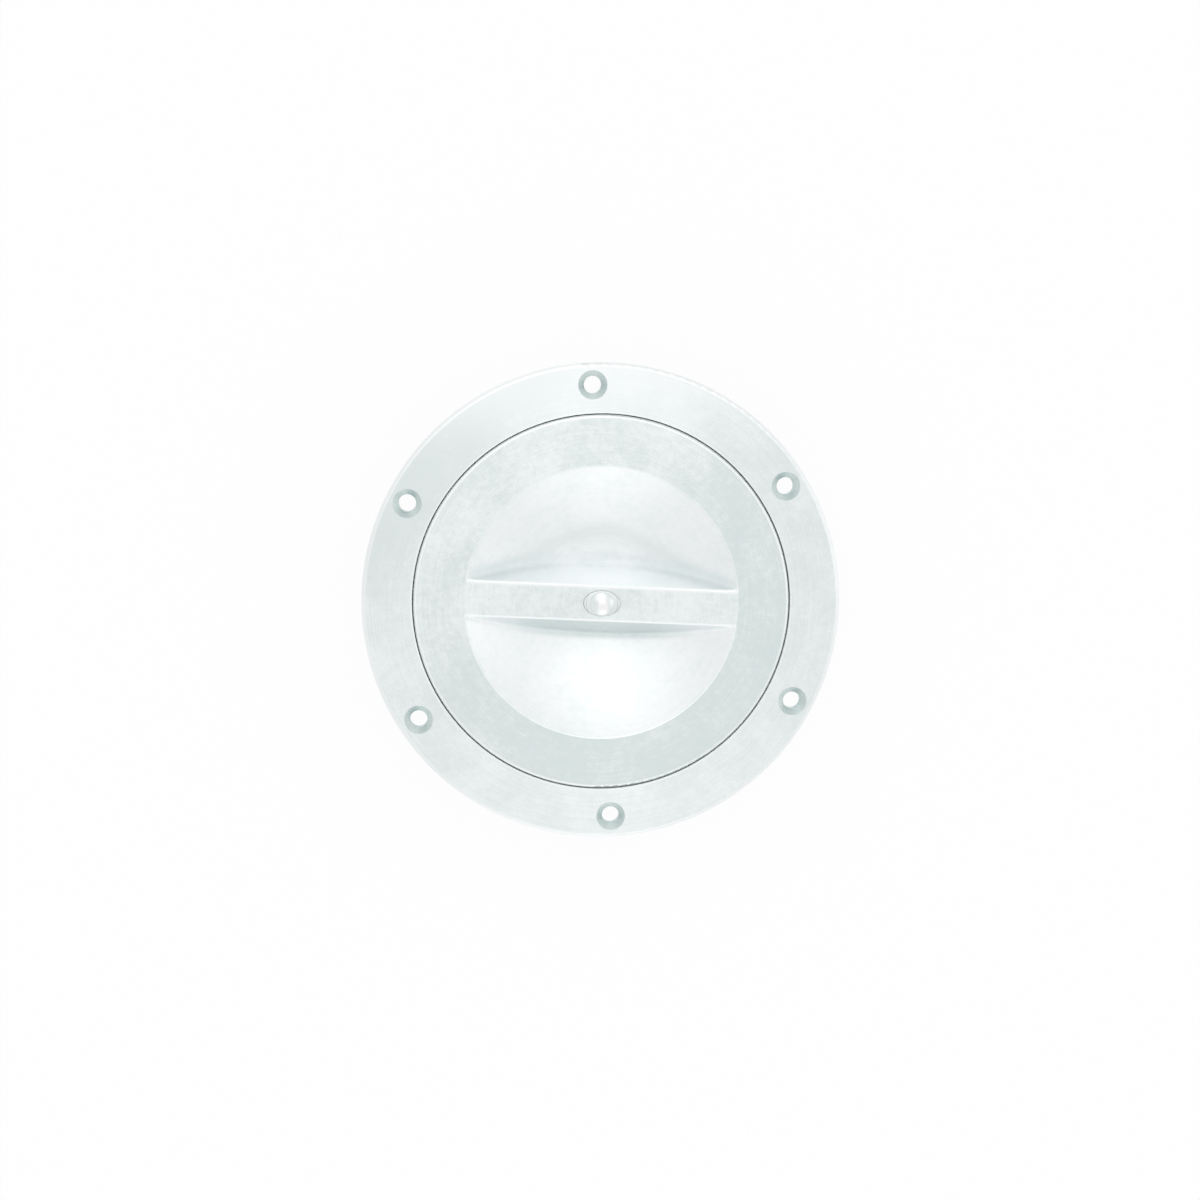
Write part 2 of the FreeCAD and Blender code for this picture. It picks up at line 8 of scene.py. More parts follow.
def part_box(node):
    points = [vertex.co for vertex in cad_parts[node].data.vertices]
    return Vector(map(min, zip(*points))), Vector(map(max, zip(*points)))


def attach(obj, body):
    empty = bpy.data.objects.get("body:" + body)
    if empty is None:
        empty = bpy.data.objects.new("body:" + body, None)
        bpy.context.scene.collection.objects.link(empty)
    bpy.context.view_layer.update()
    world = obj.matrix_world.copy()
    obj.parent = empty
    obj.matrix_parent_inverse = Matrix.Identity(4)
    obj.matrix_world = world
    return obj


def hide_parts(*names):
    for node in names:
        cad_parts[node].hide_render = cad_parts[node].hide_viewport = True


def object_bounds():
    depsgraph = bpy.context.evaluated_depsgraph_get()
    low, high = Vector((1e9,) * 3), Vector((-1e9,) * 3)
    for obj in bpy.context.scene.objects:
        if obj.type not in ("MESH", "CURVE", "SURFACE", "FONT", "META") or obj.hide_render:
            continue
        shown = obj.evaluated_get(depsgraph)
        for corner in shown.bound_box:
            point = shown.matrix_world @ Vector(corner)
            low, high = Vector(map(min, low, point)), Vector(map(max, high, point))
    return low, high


# Round screw-in access hatch of satin aluminium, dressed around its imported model. Metres. The origin
# is on the hatch's axis at the underside of the ring's flange, and +Z points up out of the deck.
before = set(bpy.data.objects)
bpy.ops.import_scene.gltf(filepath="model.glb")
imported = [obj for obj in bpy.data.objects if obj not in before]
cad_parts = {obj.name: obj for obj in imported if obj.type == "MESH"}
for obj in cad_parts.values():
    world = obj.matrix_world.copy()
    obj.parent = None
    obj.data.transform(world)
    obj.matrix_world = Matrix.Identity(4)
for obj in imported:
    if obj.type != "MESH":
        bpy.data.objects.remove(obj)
cad_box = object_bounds()
scene = bpy.context.scene
scene.view_settings.view_transform = "Standard"
millimetre = 0.001


# Camera. It looks almost straight down, tipped a little towards the top left of the picture, and
# stands far enough off for the ring to take two fifths of a square frame.
camera_distance = 0.761
towards_camera = Vector((-0.0484, 0.1340, 0.9898)).normalized()
picture_up = Vector((math.cos(math.radians(87.65)), math.sin(math.radians(87.65)), 0.0))
aim = Vector((-0.0005, 0.0009, 0.003))
camera = bpy.data.objects.new("camera", bpy.data.cameras.new("camera"))
camera.data.sensor_width = 36.0
camera.data.lens = 64.2
camera_side = picture_up.cross(towards_camera).normalized()
camera_top = towards_camera.cross(camera_side)
camera_turn = Matrix((camera_side, camera_top, towards_camera)).transposed().to_4x4()
camera.matrix_world = Matrix.Translation(aim + towards_camera * camera_distance) @ camera_turn
scene.collection.objects.link(camera)
scene.camera = camera


# Floor and light. A pale sheet lies under the collar's foot. The light is an even white sky with three
# broad glows, as in a light tent: the strongest stands high beyond the top of the picture.
class Wire:
    """An output in a node tree. Arithmetic on wires adds Math nodes to the tree."""

    def __init__(self, tree, socket=None):
        self.tree = tree
        self.socket = socket

    def node(self, kind, settings=None, sockets=None, output=0):
        """Adds a node: first its settings, or a ramp's stops, then values or wires for its sockets."""
        made = self.tree.nodes.new(kind)
        for name, value in (settings or {}).items():
            if name == "stops":
                fill_ramp(made.color_ramp, value)
            else:
                setattr(made, name, value)
        for name, value in (sockets or {}).items():
            if isinstance(value, Wire):
                self.tree.links.new(value.socket, made.inputs[name])
            else:
                made.inputs[name].default_value = value
        return Wire(self.tree, made.outputs[output] if len(made.outputs) else None)

    def math(self, operation, *values):
        return self.node("ShaderNodeMath", {"operation": operation}, dict(enumerate(values)))

    def __add__(self, other):
        return self.math("ADD", self, other)

    def __sub__(self, other):
        return self.math("SUBTRACT", self, other)

    def __rsub__(self, other):
        return self.math("SUBTRACT", other, self)

    def __mul__(self, other):
        return self.math("MULTIPLY", self, other)

    def __truediv__(self, other):
        return self.math("DIVIDE", self, other)

    def __pow__(self, other):
        return self.math("POWER", self, other)

    def __abs__(self):
        return self.math("ABSOLUTE", self)

    __radd__ = __add__
    __rmul__ = __mul__


def fill_ramp(ramp, stops):
    """Gives a colour ramp its stops, each a position and a grey."""
    while len(ramp.elements) < len(stops):
        ramp.elements.new(1.0)
    for element, (position, grey) in zip(ramp.elements, stops):
        element.position = position
        element.color = (grey, grey, grey, 1.0)


def new_finish(name):
    """An empty material, and a wire from which its nodes are added."""
    material = bpy.data.materials.new(name)
    material.use_nodes = True
    material.node_tree.nodes.clear()
    return material, Wire(material.node_tree)


def new_piece(name, mesh_maker, finish):
    """A mesh object whose place is in its mesh. mesh_maker fills a bmesh."""
    shape = bmesh.new()
    mesh_maker(shape)
    mesh = bpy.data.meshes.new(name)
    shape.to_mesh(mesh)
    shape.free()
    mesh.materials.append(finish)
    piece = bpy.data.objects.new(name, mesh)
    scene.collection.objects.link(piece)
    return piece


def floor_sheet(shape):
    level = Matrix.Translation((0.0, 0.0, cad_box[0].z - 0.02 * millimetre))
    bmesh.ops.create_grid(shape, x_segments=1, y_segments=1, size=4.0, matrix=level)


def seen_directly(wire):
    """1 for what the camera sees, straight or in metal or glass, and 0 for light that bounces."""
    rays = ("Is Camera Ray", "Is Glossy Ray", "Is Transmission Ray")
    camera_ray, glossy, through = (wire.node("ShaderNodeLightPath", output=name) for name in rays)
    return wire.math("MAXIMUM", camera_ray, wire.math("MAXIMUM", glossy, through))


def floor_finish():
    """White where it is seen, with the hatch's shadow kept, and clear from below."""
    material, wire = new_finish("pale_floor")
    whiteness = 0.93
    matt = wire.node("ShaderNodeBsdfDiffuse", sockets={"Color": (0.93, 0.93, 0.93, 1.0)})
    white = wire.node("ShaderNodeEmission", sockets={"Strength": 1.0})
    share = seen_directly(wire) * whiteness
    top = wire.node("ShaderNodeMixShader", sockets={0: share, 1: matt, 2: white})
    below = wire.node("ShaderNodeNewGeometry", output="Backfacing")
    clear = wire.node("ShaderNodeBsdfTransparent")
    sheet = wire.node("ShaderNodeMixShader", sockets={0: below, 1: top, 2: clear})
    wire.node("ShaderNodeOutputMaterial", sockets={"Surface": sheet})
    return material


floor = new_piece("floor", floor_sheet, floor_finish())


def glow(wire, direction, towards, sharpness, strength):
    """A broad soft light in the sky, brightest in one direction."""
    nearness = wire.node("ShaderNodeVectorMath", {"operation": "DOT_PRODUCT"}, {
        0: direction, 1: Vector(towards).normalized()}, output="Value")
    return wire.math("MAXIMUM", nearness, 0.0) ** sharpness * strength


sky = bpy.data.worlds.new("sky")
sky.use_nodes = True
sky.node_tree.nodes.clear()
sky_wire = Wire(sky.node_tree)
direction = sky_wire.node("ShaderNodeTexCoord", output="Generated")
brightness = (glow(sky_wire, direction, (0.0, 0.49, 0.87), 10.0, 0.58)
              + glow(sky_wire, direction, (0.0, -0.96, 0.28), 12.0, 0.36)
              + glow(sky_wire, direction, (0.94, 0.0, 0.34), 12.0, 0.26) + 0.89)
lit = sky_wire.node("ShaderNodeBackground", sockets={"Color": brightness, "Strength": 1.0})
white = sky_wire.node("ShaderNodeBackground", sockets={"Color": (1.0, 1.0, 1.0, 1.0), "Strength": 1.0})
seen_by_camera = sky_wire.node("ShaderNodeLightPath", output="Is Camera Ray")
either = sky_wire.node("ShaderNodeMixShader", sockets={0: seen_by_camera, 1: lit, 2: white})
sky_wire.node("ShaderNodeOutputWorld", sockets={"Surface": either})
scene.world = sky


# Deck ring. Cast in aluminium, with its face, recess and thread turned, then tumbled to a satin
# that hands and boots have clouded. The countersinks are cut last and stay dull, with painted shade in
# them.
top_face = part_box("deck_ring")[1].z
ring_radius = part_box("deck_ring")[1].x
recess_radius = 67.2 * millimetre
collar_radius = 70.5 * millimetre


def noise(wire, point, feature, detail=2.0, roughness=0.55):
    """Cloudy noise from 0 to 1, its features about that many metres across."""
    return wire.node("ShaderNodeTexNoise", sockets={
        "Vector": point, "Scale": 1.0 / feature, "Detail": detail, "Roughness": roughness})


def step(wire, value, low, high):
    """0 below low, 1 above high, and smooth between them. It falls instead if low is the higher."""
    return wire.node("ShaderNodeMapRange", {"interpolation_type": "SMOOTHSTEP"}, {
        "Value": value, "From Min": low, "From Max": high, "To Min": 0.0, "To Max": 1.0})


def within(wire, value, low, high, blur):
    """1 between low and high, and 0 outside them, with soft ends."""
    return step(wire, value, low - blur, low + blur) * step(wire, value, high + blur, high - blur)


def axes(wire, point):
    """The three coordinates of a point, each a wire."""
    return [wire.node("ShaderNodeSeparateXYZ", sockets={0: point}, output=axis) for axis in "XYZ"]


def from_axis(x, y):
    """How far a point lies from the axis, from its first two coordinates."""
    return (x * x + y * y) ** 0.5


def joined(wire, x, y, z):
    """A point made of three coordinates."""
    return wire.node("ShaderNodeCombineXYZ", sockets={"X": x, "Y": y, "Z": z})


def turned(wire, point, degrees):
    """The point turned about Z."""
    return wire.node("ShaderNodeMapping", sockets={
        "Vector": point, "Rotation": (0.0, 0.0, math.radians(degrees))})


def scratches(wire, point, degrees, length, width, share):
    """Fine straight scratches in one direction. A larger share gives more of them."""
    x, y, z = axes(wire, turned(wire, point, degrees))
    drawn = joined(wire, x / length, y / width, z / length)
    value = wire.node("ShaderNodeTexNoise", sockets={"Vector": drawn, "Scale": 1.0, "Detail": 0.0})
    return step(wire, value, 0.80 - share, 0.86 - share)


def lathe_marks(wire, point, spacing):
    """Fine rings about the axis, as a lathe leaves them, broken along their length."""
    x, y = axes(wire, point)[:2]
    radius = from_axis(x, y)
    rings = joined(wire, radius / spacing, x / radius * 2.5, y / radius * 2.5)
    return wire.node("ShaderNodeTexNoise", sockets={"Vector": rings, "Scale": 1.0, "Detail": 1.0})


def mix_colour(wire, share, first, second):
    return wire.node("ShaderNodeMix", {"data_type": "RGBA"}, {
        "Factor": share, 6: first, 7: second}, output=2)


def metal(wire, tone, roughness, relief, grain=0.0, bare=1.0):
    """A metal surface. The relief is a height in metres, grain the pull of its lathe marks, and bare
    the share of metal that no salt covers."""
    bump = wire.node("ShaderNodeBump", sockets={"Strength": 1.0, "Distance": 1.0, "Height": relief})
    shader = wire.node("ShaderNodeBsdfPrincipled", sockets={
        "Base Color": tone, "Metallic": bare, "Roughness": roughness, "Normal": bump,
        "Anisotropic": grain, "Anisotropic Rotation": 0.25})
    wire.node("ShaderNodeOutputMaterial", sockets={"Surface": shader})


def salt_in_gap(wire, z, wall, tone):
    """Salt that has dried on a wall of the gap round the lid: where it lies, and the tone with it."""
    deep, shallow = top_face - 7.0 * millimetre, top_face - 0.6 * millimetre
    salt = wall * within(wire, z, deep, shallow, 0.2 * millimetre)
    return salt, mix_colour(wire, salt, tone, (0.82, 0.88, 0.87, 1))


def ring_finish():
    material, wire = new_finish("ring_satin")
    point = wire.node("ShaderNodeTexCoord", output="Object")
    x, y, z = axes(wire, point)
    radius = from_axis(x, y)
    clouds = noise(wire, point, 18 * millimetre, 2.0)
    mottle = noise(wire, point, 3 * millimetre, 3.0, 0.65)
    speckle = noise(wire, point, 0.4 * millimetre, 3.0, 0.75)
    marks = lathe_marks(wire, point, 0.35 * millimetre)
    scored = scratches(wire, point, 12, 9 * millimetre, 0.12 * millimetre, 0.045)
    value = clouds * 0.26 + mottle * 0.20 + speckle * 0.36 + marks * 0.18

    # One quarter, at the upper left, is darker than the rest.
    darker_side = step(wire, y - x, 78 * millimetre, 112 * millimetre) * 0.13
    shade = step(wire, value - darker_side, 0.375, 0.625)
    tone = mix_colour(wire, shade, (0.79, 0.845, 0.845, 1), (0.915, 0.955, 0.955, 1))

    # A painted highlight lightens the top side. The outer edge and the edge of the recess are lighter,
    # partly worn by hands and feet and partly a painted highlight.
    painted_top_highlight = step(wire, y, 52 * millimetre, 80 * millimetre) * 0.65
    tone = mix_colour(wire, painted_top_highlight, tone, (0.96, 0.985, 0.985, 1))
    outer_edge = within(wire, radius, ring_radius - 1.5 * millimetre, ring_radius + 1.0 * millimetre,
                        0.2 * millimetre)
    recess_edge = within(wire, radius, recess_radius, recess_radius + 0.5 * millimetre,
                         0.15 * millimetre)
    near_top = step(wire, z, top_face - 2.0 * millimetre, top_face - 1.0 * millimetre)
    wear_and_highlight = (outer_edge * 0.8 + recess_edge) * near_top
    tone = mix_colour(wire, wear_and_highlight * 0.8, tone, (0.975, 0.99, 0.99, 1))

    # The countersinks and the flange's underside are rougher, and painted shade darkens them. Both lie
    # between the collar and the rounded edge, below the top face.
    on_flange = within(wire, radius, collar_radius + 1.2 * millimetre, ring_radius - 1.9 * millimetre,
                       0.1 * millimetre)
    sunk = on_flange * step(wire, z, top_face - 0.04 * millimetre, top_face - 0.10 * millimetre)
    painted_sink_shade = mix_colour(wire, step(wire, speckle, 0.35, 0.65),
                        (0.70, 0.785, 0.775, 1), (0.79, 0.865, 0.855, 1))
    tone = mix_colour(wire, sunk, tone, painted_sink_shade)
    recess_wall = step(wire, radius, recess_radius + 0.2 * millimetre, recess_radius + 0.1 * millimetre)
    salt, tone = salt_in_gap(wire, z, recess_wall, tone)
    roughness = 0.47 - clouds * 0.08 + speckle * 0.05 + sunk * 0.1 - scored * 0.1 - wear_and_highlight * 0.12
    relief = (mottle * 0.008 + speckle * 0.006 + marks * 0.0015 - scored * 0.003) * millimetre
    metal(wire, tone, roughness, relief, 0.75, 1.0 - salt)
    return material


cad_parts["deck_ring"].material_slots[0].material = ring_finish()


# Lid. One aluminium casting: a turned band round a bowl that is scoured brighter than the band, a
# grip bar across it, hollow below, and a turned skirt with the thread. The underside is as cast.
lid_radius = 66.8 * millimetre
skirt_inside = 56.5 * millimetre
bowl_rim = 48.65 * millimetre
bowl_depth = 16.0 * millimetre
bowl_wall = 3.0 * millimetre
bar_turn = -5.1
bar_half_width = 6.35 * millimetre
bar_lean = math.tan(math.radians(23.0))


def lid_zones(wire, point):
    """Masks for the bowl, the casting below, wear and painted highlight, painted shade by the bar, and
    the bar's foot.
    """
    x, y, z = axes(wire, point)
    along, across = axes(wire, turned(wire, point, -bar_turn))[:2]
    radius = from_axis(x, y)

    # The bowl is part of a sphere, and the bar's sides lean. from_sphere is 0 on the bowl's surface,
    # and from_bar is 0 on the bar's sides. Both are more than 0 in the open bowl, and each is less
    # than 0 past its own surface, in the metal.
    sphere_radius = (bowl_rim ** 2 + bowl_depth ** 2) / (2.0 * bowl_depth)
    above_centre = z - (top_face - bowl_depth + sphere_radius)
    from_sphere = sphere_radius - (x * x + y * y + above_centre * above_centre) ** 0.5
    from_bar = abs(across) - (top_face - z) * bar_lean - bar_half_width
    inside_sphere = step(wire, from_sphere, -0.6 * bowl_wall, -0.3 * bowl_wall)
    below_top = step(wire, z, top_face - 0.05 * millimetre, top_face - 0.5 * millimetre)
    under_bar = step(wire, from_bar, -0.3 * bowl_wall, -0.6 * bowl_wall) * step(
        wire, z, top_face - 1.0 * millimetre, top_face - 2.5 * millimetre)
    within_rim = step(wire, radius, bowl_rim + 0.4 * millimetre, bowl_rim + 0.1 * millimetre)
    bowl = inside_sphere * below_top * within_rim * (1.0 - under_bar)
    low = step(wire, z, top_face - 2.0 * millimetre, top_face - 3.0 * millimetre)
    inside_skirt = step(wire, radius, skirt_inside + 1.1 * millimetre, skirt_inside + 0.7 * millimetre)
    cast = low * inside_skirt * (1.0 - bowl)

    # The long edges of the bar, the bowl's rim and the lid's outer edge are lighter, partly worn by
    # hands and partly a painted highlight; the bar's far edge carries more of the painted highlight.
    near_top = step(wire, z, top_face - 1.1 * millimetre, top_face - 0.8 * millimetre)
    both_edges = within(wire, abs(across), bar_half_width - 0.6 * millimetre,
                        bar_half_width + 0.4 * millimetre, 0.15 * millimetre)
    far_edge = within(wire, across, bar_half_width - 1.1 * millimetre, bar_half_width, 0.3 * millimetre)
    over_bowl = step(wire, radius, bowl_rim + 0.2 * millimetre, bowl_rim - 0.2 * millimetre)
    bar_edges = wire.math("MAXIMUM", both_edges, far_edge * 0.6) * over_bowl
    rim = within(wire, radius, bowl_rim - 0.3 * millimetre, bowl_rim + 0.3 * millimetre,
                 0.12 * millimetre)
    rim = rim * step(wire, abs(across), bar_half_width - 0.5 * millimetre, bar_half_width)
    outer_edge = within(wire, radius, lid_radius - 1.1 * millimetre, lid_radius + 0.2 * millimetre,
                        0.25 * millimetre)
    edges = (bar_edges + rim * 0.6 + outer_edge * 0.9) * near_top

    # On the far side of the bar a painted reflection lightens the middle of its wall and the bowl by
    # it, and painted shade darkens the corners at its ends and an arch beyond. On the near side painted
    # shade darkens the middle.
    far_side = step(wire, across, -1.0 * millimetre, 1.0 * millimetre)
    on_bar = step(wire, from_bar, 3.5 * millimetre, 0.8 * millimetre) * bowl
    in_corner = step(wire, from_bar + from_sphere, 5.5 * millimetre, 1.0 * millimetre) * bowl
    middle = step(wire, abs(along), 36 * millimetre, 8 * millimetre)
    painted_reflection = far_side * on_bar * (1.0 - in_corner) * middle
    from_peak = across + (along * along * 0.25 + (3 * millimetre) ** 2) ** 0.5
    arch = within(wire, from_peak, 26 * millimetre, 31 * millimetre, 4 * millimetre) * bowl
    painted_corner_shade = in_corner * step(wire, abs(along), 4 * millimetre, 26 * millimetre) * 0.45
    painted_far_shade = far_side * wire.math("MAXIMUM", painted_corner_shade, arch * 0.5)
    painted_near_shade = (1.0 - far_side) * on_bar * step(wire, abs(along), 40 * millimetre, 16 * millimetre)
    wear_and_highlight = wire.math("MINIMUM", edges + painted_reflection * 0.95, 1.0)

    # No cloth reaches the corner at the foot of the far side, so it is rougher there.
    foot = step(wire, from_bar + from_sphere, 7.0 * millimetre, 2.5 * millimetre) * bowl * far_side
    return bowl, cast, wear_and_highlight, painted_far_shade + painted_near_shade, foot


def lid_finish():
    material, wire = new_finish("lid_satin")
    point = wire.node("ShaderNodeTexCoord", output="Object")
    bowl, cast, wear_and_highlight, painted_bar_shade, foot = lid_zones(wire, point)
    x, y, z = axes(wire, point)
    radius = from_axis(x, y)
    clouds = noise(wire, point, 18 * millimetre, 2.0)
    mottle = noise(wire, point, 2.5 * millimetre, 3.0, 0.65)
    speckle = noise(wire, point, 0.4 * millimetre, 3.0, 0.75)
    marks = lathe_marks(wire, point, 0.35 * millimetre)
    drawn = scratches(wire, point, -bar_turn, 14 * millimetre, 0.10 * millimetre, 0.06)
    value = clouds * 0.26 + mottle * 0.26 + speckle * 0.34 + marks * 0.14

    # The band is darker and darker towards the lower right, and a little darker all round; the bowl and
    # the bar are not.
    on_band = step(wire, radius, bowl_rim - 0.2 * millimetre, bowl_rim + 0.2 * millimetre)
    drift = step(wire, x * 0.6 - y * 0.8, -45 * millimetre, 55 * millimetre)
    darker_side = on_band * (drift * 0.105 + 0.03)
    shade = step(wire, value - darker_side, 0.34, 0.60)
    dull = mix_colour(wire, shade, (0.70, 0.77, 0.765, 1), (0.875, 0.915, 0.915, 1))
    bright = mix_colour(wire, shade, (0.855, 0.895, 0.90, 1), (0.95, 0.97, 0.975, 1))
    grey = mix_colour(wire, shade, (0.52, 0.55, 0.55, 1), (0.66, 0.69, 0.69, 1))
    tone = mix_colour(wire, bowl, dull, bright)
    # Painted shade by the bar darkens the colour; wear, painted highlights and the painted reflection
    # lighten it.
    tone = mix_colour(wire, painted_bar_shade * (mottle * 0.6 + 0.15), tone, (0.56, 0.66, 0.645, 1))
    tone = mix_colour(wire, wear_and_highlight * 0.85, tone, (0.97, 0.99, 0.99, 1))
    tone = mix_colour(wire, cast, tone, grey)
    lid_wall = step(wire, radius, lid_radius - 0.2 * millimetre, lid_radius - 0.1 * millimetre)
    salt, tone = salt_in_gap(wire, z, lid_wall, tone)
    roughness = 0.47 - clouds * 0.08 + speckle * 0.05 - bowl * 0.03 - drawn * 0.08 - wear_and_highlight * 0.08
    roughness = roughness + cast * 0.2 + foot * 0.35
    pitted = noise(wire, point, 0.9 * millimetre, 3.0, 0.6) * cast
    relief = mottle * 0.007 + speckle * 0.006 + marks * 0.001 - drawn * 0.003 + pitted * 0.06
    metal(wire, tone, roughness, relief * millimetre, 0.35, 1.0 - salt)
    return material


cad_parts["lid"].material_slots[0].material = lid_finish()


# Seal. A moulded ring of black rubber. It sits round the lid's neck, and the lid squeezes it between
# the roof of its gland and the ring's seat.
def lid_seal(shape):
    """A square section with its corners rounded, spun about the axis."""
    low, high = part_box("lid_seal")
    inner = min(corner.co.xy.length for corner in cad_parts["lid_seal"].data.vertices)
    corners = ((inner, low.z), (high.x, low.z), (high.x, high.z), (inner, high.z))
    section = [shape.verts.new((radius, 0.0, height)) for radius, height in corners]
    for index in range(len(section)):
        shape.edges.new((section[index - 1], section[index]))
    bmesh.ops.bevel(shape, geom=section, offset=0.42 * (high.z - low.z), segments=4, profile=0.5,
                    affect="VERTICES", material=-1)
    bmesh.ops.spin(shape, geom=shape.verts[:] + shape.edges[:], cent=(0, 0, 0), axis=(0, 0, 1),
                   angle=math.tau, steps=192, use_merge=True)
    bmesh.ops.recalc_face_normals(shape, faces=shape.faces[:])
    for face in shape.faces:
        face.smooth = True


def rubber_finish():
    material, wire = new_finish("black_rubber")
    point = wire.node("ShaderNodeTexCoord", output="Object")
    bloom = noise(wire, point, 4 * millimetre, 3.0, 0.6)
    pores = noise(wire, point, 0.3 * millimetre, 2.0, 0.6)
    tone = mix_colour(wire, step(wire, bloom, 0.35, 0.75),
                      (0.018, 0.018, 0.019, 1), (0.05, 0.05, 0.052, 1))
    bump = wire.node("ShaderNodeBump", sockets={
        "Strength": 1.0, "Distance": 1.0, "Height": (pores * 0.012 + bloom * 0.02) * millimetre})
    shader = wire.node("ShaderNodeBsdfPrincipled", sockets={
        "Base Color": tone, "Roughness": 0.5 + bloom * 0.2, "Normal": bump})
    wire.node("ShaderNodeOutputMaterial", sockets={"Surface": shader})
    return material


seal = new_piece("rubber_seal", lid_seal, rubber_finish())
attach(seal, "seal")
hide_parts("lid_seal")


# Stud. Polished stainless steel, turned in one piece: an oval flange sunk in the bar, a round dome
# on it, and a shank with a 5 mm thread that the nut holds under the bar.
stud_low, stud_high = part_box("centre_stud")
flange_length, flange_width = 13.0 * millimetre, 9.0 * millimetre
flange_low, flange_high = top_face - 0.8 * millimetre, top_face + 0.5 * millimetre
dome_radius = 0.5 * flange_width - 0.35 * millimetre
shank_radius = 2.5 * millimetre
threaded_length = 10 * millimetre
thread_pitch, thread_depth = 0.8 * millimetre, 0.43 * millimetre


def oval_flange(shape):
    """The oval flange, with its upper edge rounded."""
    made = bmesh.ops.create_circle(shape, cap_ends=True, segments=96, radius=0.5)
    stretch = Matrix.Diagonal((flange_length, flange_width, 1.0, 1.0))
    turn = Matrix.Rotation(math.radians(bar_turn), 4, "Z")
    place = Matrix.Translation((0, 0, flange_low)) @ turn @ stretch
    bmesh.ops.transform(shape, matrix=place, verts=made["verts"])
    face = made["verts"][0].link_faces[0]
    lifted = bmesh.ops.extrude_face_region(shape, geom=[face])
    upper = [item for item in lifted["geom"] if isinstance(item, bmesh.types.BMVert)]
    bmesh.ops.translate(shape, vec=(0, 0, flange_high - flange_low), verts=upper)
    rim = [edge for edge in shape.edges if all(corner in upper for corner in edge.verts)]
    bmesh.ops.bevel(shape, geom=rim, offset=0.3 * millimetre, segments=5, profile=0.5, affect="EDGES",
                    material=-1)


def turned_body(shape):
    """The dome, and below it the shank: plain at first, then the thread's core with a bevelled tip."""
    rise = stud_high.z - flange_high
    curve = (dome_radius ** 2 + rise ** 2) / (2.0 * rise)
    steps = 14
    slope = math.asin(dome_radius / curve)
    angles = [slope * index / steps for index in range(steps + 1)]
    profile = [(curve * math.sin(angle), stud_high.z - curve * (1 - math.cos(angle)))
               for angle in angles]
    core = shank_radius - thread_depth
    tip = stud_low.z
    foot = flange_low + 0.3 * millimetre
    profile += [(dome_radius, foot), (shank_radius, foot),
                (shank_radius, tip + threaded_length), (core, tip + threaded_length - thread_depth),
                (core, tip + 0.3 * millimetre), (core - 0.3 * millimetre, tip), (0.0, tip)]
    corners = [shape.verts.new((radius, 0.0, height)) for radius, height in profile]
    edges = [shape.edges.new(pair) for pair in zip(corners, corners[1:])]
    bmesh.ops.spin(shape, geom=corners + edges, cent=(0, 0, 0), axis=(0, 0, 1), angle=math.tau,
                   steps=64, use_merge=True)
    bmesh.ops.remove_doubles(shape, verts=shape.verts[:], dist=0.001 * millimetre)


def thread(shape):
    """The thread, a ridge that climbs round the core, its foot sunk in it."""
    steps_a_turn = 36
    turns = 10.5
    core, crest = shank_radius - thread_depth - 0.05 * millimetre, shank_radius - 0.02 * millimetre
    start = stud_low.z + 0.5 * thread_pitch + 0.1 * millimetre
    section = [shape.verts.new((radius, 0.0, start + thread_pitch * height))
               for radius, height in ((core, -0.46), (crest, -0.06), (crest, 0.06), (core, 0.46))]
    face = shape.faces.new(section)
    bmesh.ops.spin(shape, geom=[face], cent=(0, 0, 0), axis=(0, 0, 1), angle=math.tau * turns,
                   steps=int(turns * steps_a_turn), dvec=(0, 0, thread_pitch / steps_a_turn))


def centre_stud(shape):
    oval_flange(shape)
    turned_body(shape)
    thread(shape)
    bmesh.ops.recalc_face_normals(shape, faces=shape.faces[:])
    for face in shape.faces:
        face.smooth = True


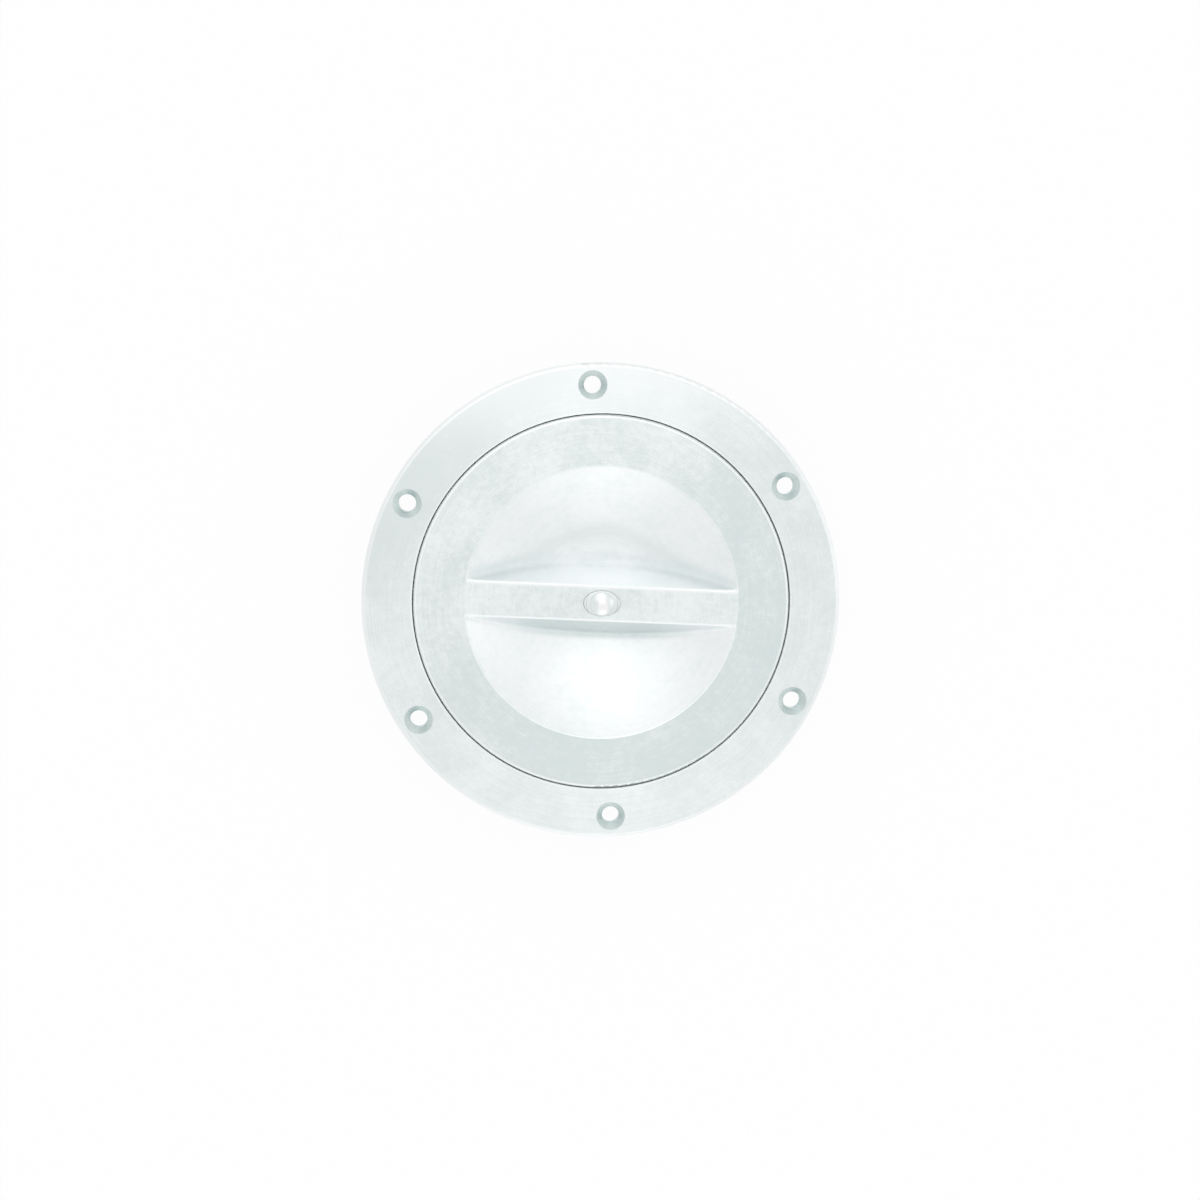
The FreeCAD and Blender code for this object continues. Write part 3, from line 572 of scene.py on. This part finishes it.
def chrome_finish():
    """Polished, with a painted highlight on the crown, painted shade in the crease round the dome, a
    dark turned line, and the flange a little darker.
    """
    material, wire = new_finish("polished_steel")
    point = wire.node("ShaderNodeTexCoord", output="Object")
    x, y, z = axes(wire, point)
    radius = from_axis(x, y)
    crown_x, crown_y = x - 0.3 * millimetre, y + 1.2 * millimetre
    from_crown = (crown_x * crown_x + crown_y * crown_y * 0.5) ** 0.5
    haze = noise(wire, point, 2.5 * millimetre, 3.0, 0.6)
    hairlines = scratches(wire, point, 40, 3 * millimetre, 0.05 * millimetre, 0.06)
    tone = mix_colour(wire, haze, (0.78, 0.83, 0.83, 1), (0.88, 0.915, 0.915, 1))
    # A painted highlight on the crown, a little off its middle.
    crown_highlight = step(wire, from_crown, 2.3 * millimetre, 1.3 * millimetre)
    tone = mix_colour(wire, crown_highlight, tone, (0.99, 0.99, 0.99, 1))
    crease = within(wire, radius, dome_radius - 0.2 * millimetre, dome_radius + 0.15 * millimetre,
                    0.15 * millimetre)
    flange = step(wire, radius, dome_radius, dome_radius + 0.3 * millimetre)
    line_outside = 0.5 * flange_length - 0.8 * millimetre
    turned_line = within(wire, radius, line_outside - 0.2 * millimetre, line_outside, 0.15 * millimetre)
    on_top = step(wire, z, flange_high - 0.4 * millimetre, flange_high - 0.2 * millimetre)
    # Painted shade in the crease round the dome; the turned line and the flange are darker.
    shade_and_dark_rings = (crease * 0.16 + turned_line * 0.45 + flange * 0.08) * on_top
    tone = mix_colour(wire, shade_and_dark_rings, tone, (0.36, 0.40, 0.40, 1))
    relief = (haze * 0.004 - hairlines * 0.001) * millimetre
    metal(wire, tone, 0.10 + haze * 0.08 + hairlines * 0.08, relief)
    return material


stud = new_piece("polished_stud", centre_stud, chrome_finish())
stud.data.set_sharp_from_angle(angle=math.radians(35))
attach(stud, "lid")
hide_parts("centre_stud")


# Washer, lanyard tab and lock nut. Plain stainless steel: the washer and the tab are punched from
# sheet and keep its rolled grain, and the nut is cut from hexagon bar.
def steel_finish(name, grain_degrees):
    material, wire = new_finish(name)
    point = wire.node("ShaderNodeTexCoord", output="Object")
    clouds = noise(wire, point, 5 * millimetre, 3.0)
    grain = scratches(wire, point, grain_degrees, 4 * millimetre, 0.06 * millimetre, 0.2)
    speckle = noise(wire, point, 0.2 * millimetre, 2.0, 0.7)
    value = clouds * 0.5 + grain * 0.2 + speckle * 0.3
    tone = mix_colour(wire, step(wire, value, 0.3, 0.7), (0.52, 0.53, 0.54, 1), (0.70, 0.71, 0.71, 1))
    relief = (grain * 0.002 + speckle * 0.002) * millimetre
    metal(wire, tone, 0.30 + clouds * 0.12 + grain * 0.06, relief)
    return material


for node, grain_degrees in (("stud_washer", 30), ("lanyard_tab", -bar_turn), ("lock_nut", 90)):
    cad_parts[node].material_slots[0].material = steel_finish(f"{node}_steel", grain_degrees)


# Insert. A moulded ring of pale nylon, pressed into the nut's collar. It is waxy, and the stud's
# thread cuts a little way into it.
def nylon_finish():
    material, wire = new_finish("pale_nylon")
    point = wire.node("ShaderNodeTexCoord", output="Object")
    wax = noise(wire, point, 1.5 * millimetre, 3.0, 0.6)
    tone = mix_colour(wire, wax, (0.60, 0.66, 0.72, 1), (0.76, 0.80, 0.84, 1))
    bump = wire.node("ShaderNodeBump", sockets={
        "Strength": 1.0, "Distance": 1.0, "Height": wax * (0.03 * millimetre)})
    shader = wire.node("ShaderNodeBsdfPrincipled", sockets={
        "Base Color": tone, "Roughness": 0.38 + wax * 0.15, "Normal": bump})
    wire.node("ShaderNodeOutputMaterial", sockets={"Surface": shader})
    return material


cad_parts["nut_insert"].material_slots[0].material = nylon_finish()
